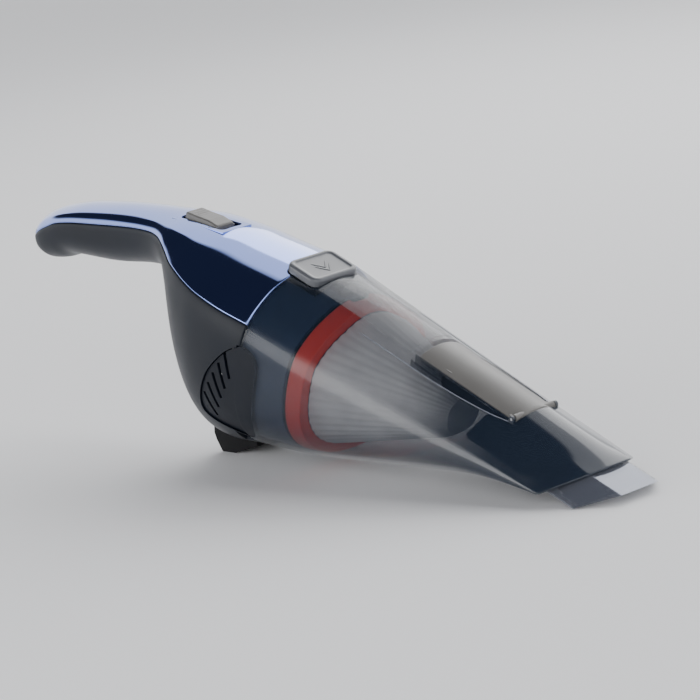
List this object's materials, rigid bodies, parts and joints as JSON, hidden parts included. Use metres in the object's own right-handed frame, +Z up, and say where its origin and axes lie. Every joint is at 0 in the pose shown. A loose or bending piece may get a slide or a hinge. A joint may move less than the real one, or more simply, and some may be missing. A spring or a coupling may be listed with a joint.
{
  "type": "handheld vacuum",
  "caption": "Cordless wedge-shaped handheld vacuum with top handle, slide-off clear dust bowl, filter, flip-up brush and pull-out crevice nozzle.",
  "frame": {"origin": "centre of the rear foot's flat underside, on the surface the vacuum stands on", "axes": "+X forward towards the nozzle, +Y to the vacuum's left, +Z up"},
  "size_m": [0.4438, 0.092, 0.1284],
  "materials": {
    "cover_gloss_blue": "metallic gloss",
    "housing_navy": "satin",
    "collar_blue": "satin",
    "black_plastic": "satin",
    "rubber_black": "matt",
    "smoked_clear": "clear gloss",
    "clear_grey": "clear gloss",
    "warm_grey": "satin",
    "mid_grey": "satin",
    "filter_red": "satin",
    "fleece": "felted",
    "steel": "machined",
    "cell_sleeve": "shrink film",
    "board_green": "solder mask",
    "wire_red": "matt",
    "wire_black": "matt"
  },
  "bodies": {
    "housing": {"top_cover": "cover_gloss_blue", "housing_left": "housing_navy", "housing_right": "housing_navy", "housing_screw_1": "steel", "housing_screw_2": "steel", "housing_screw_3": "steel", "housing_screw_4": "steel", "exhaust_cheek_left": "black_plastic", "exhaust_cheek_right": "black_plastic", "rear_foot": "rubber_black", "charging_socket": "black_plastic", "motor": "steel", "motor_gasket": "rubber_black", "motor_screw_1": "steel", "motor_screw_2": "steel", "motor_bracket": "mid_grey", "fan_shroud": "housing_navy", "battery_cell_1": "cell_sleeve", "battery_cell_2": "cell_sleeve", "circuit_board": "board_green", "micro_switch": "black_plastic", "wire_red": "wire_red", "wire_black": "wire_black", "bowl_collar": "collar_blue", "release_spring": "steel"},
    "rotor": {"motor_shaft": "steel", "impeller": "mid_grey"},
    "button": {"release_button": "mid_grey"},
    "switch": {"power_switch": "warm_grey"},
    "bowl": {"dust_bowl": "smoked_clear", "inlet_duct": "smoked_clear", "brush_pin": "steel"},
    "brush": {"brush_panel": "warm_grey", "brush_bristles": "black_plastic"},
    "nozzle": {"crevice_nozzle": "clear_grey"},
    "flap": {"inlet_flap": "rubber_black"},
    "filter": {"filter_ring": "filter_red", "filter_seal": "rubber_black", "filter_fleece": "fleece", "filter_frame": "mid_grey"}
  },
  "joints": [
    {"name": "power_switch_slide", "type": "slide", "parent": "housing", "child": "switch", "axis": [0.9877, 0, -0.1564], "range_m": [0, 0.0055]},
    {"name": "release_button_press", "type": "slide", "parent": "housing", "child": "button", "axis": [-0.3931, 0, -0.9195], "range_m": [0, 0.003], "stiffness_N_per_m": 600, "springref_m": -0.001, "deforming": ["release_spring"]},
    {"name": "bowl_slide", "type": "slide", "parent": "housing", "child": "bowl", "axis": [0.9195, 0, -0.3931], "range_m": [0, 0.2]},
    {"name": "filter_slide", "type": "slide", "parent": "housing", "child": "filter", "axis": [0.9195, 0, -0.3931], "range_m": [0, 0.07]},
    {"name": "brush_flip", "type": "hinge", "parent": "bowl", "child": "brush", "pos_m": [0.22766, 0, 0.03607], "axis": [0, 1, 0], "range_deg": [0, 95]},
    {"name": "nozzle_slide", "type": "slide", "parent": "bowl", "child": "nozzle", "axis": [0.9195, 0, -0.3931], "range_m": [0, 0.032]},
    {"name": "inlet_flap_swing", "type": "hinge", "parent": "bowl", "child": "flap", "pos_m": [0.2092, 0, 0.03766], "axis": [0, 1, 0], "range_deg": [0, 55]},
    {"name": "rotor_spin", "type": "hinge", "parent": "housing", "child": "rotor", "pos_m": [0.0585, 0, 0.0525], "axis": [0.9195, 0, -0.3931], "continuous": true}
  ],
  "couplings": [
    {"joint": "filter_slide", "follows": "bowl_slide", "ratio": 0.35}
  ]
}
